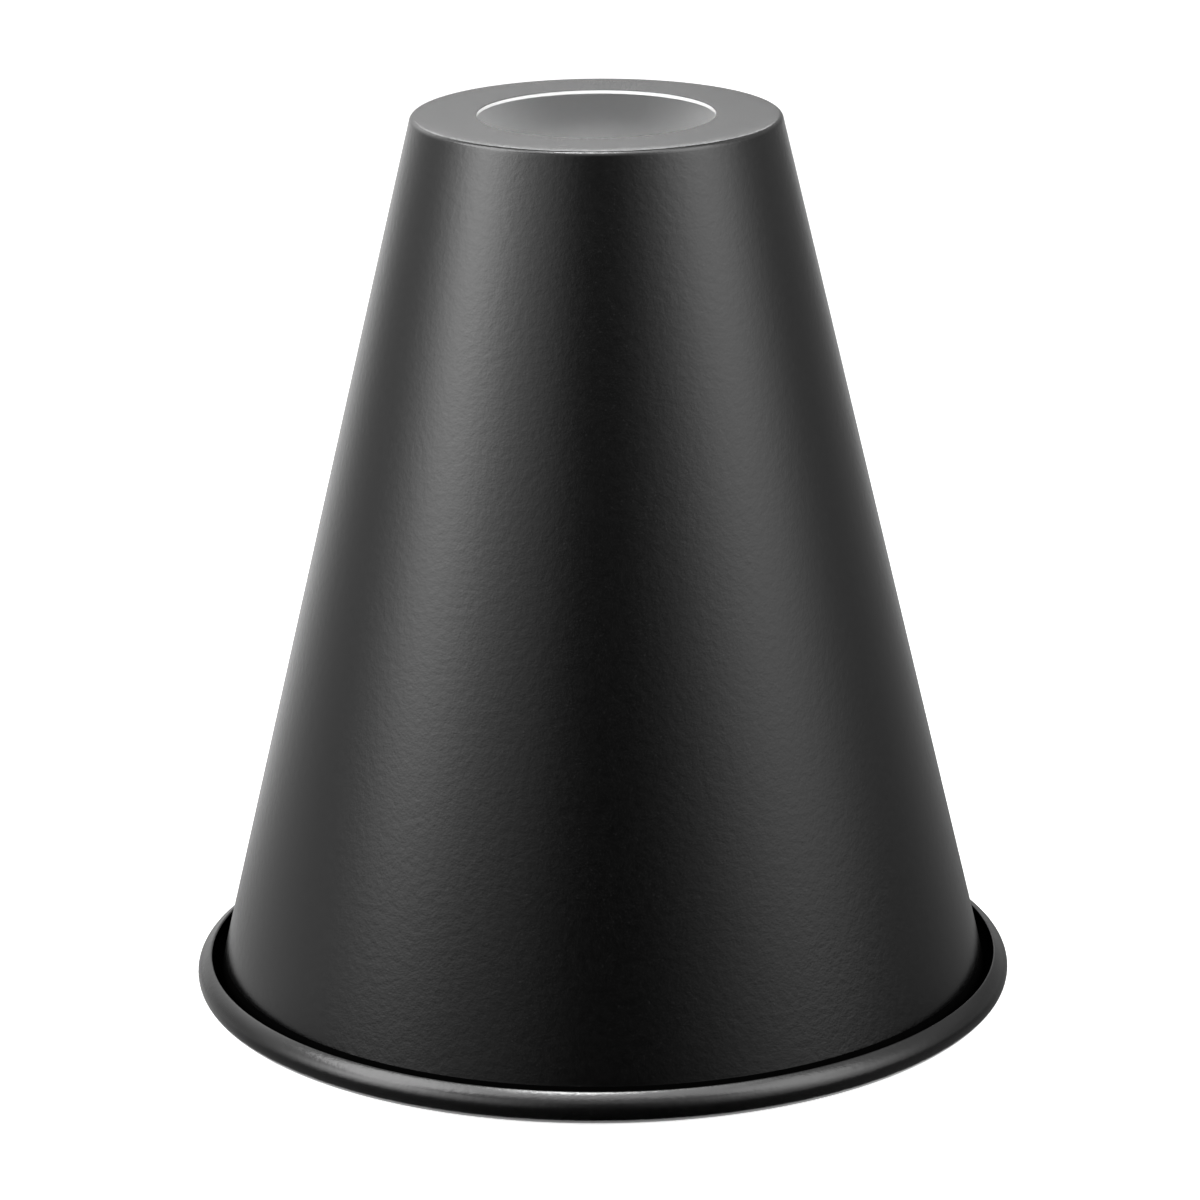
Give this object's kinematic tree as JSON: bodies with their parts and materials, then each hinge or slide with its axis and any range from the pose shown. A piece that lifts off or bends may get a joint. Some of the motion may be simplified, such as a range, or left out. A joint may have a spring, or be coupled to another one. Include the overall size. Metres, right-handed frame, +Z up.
{
  "type": "spun metal cone",
  "caption": "Tall conical shade spun from one thin metal sheet, with a flat holed top for a lampholder and a rim curled outwards into an open half-round gutter.",
  "frame": {"origin": "centre of the floor circle that the curled rim stands on", "axes": "+Z up the turning axis, towards the top plate and its hole; X and Y are equal, as the part is turned"},
  "size_m": [0.148, 0.148, 0.16],
  "materials": {
    "black_powder_coat": "satin"
  },
  "bodies": {
    "root": {"spun_cone": "black_powder_coat"}
  },
  "joints": []
}
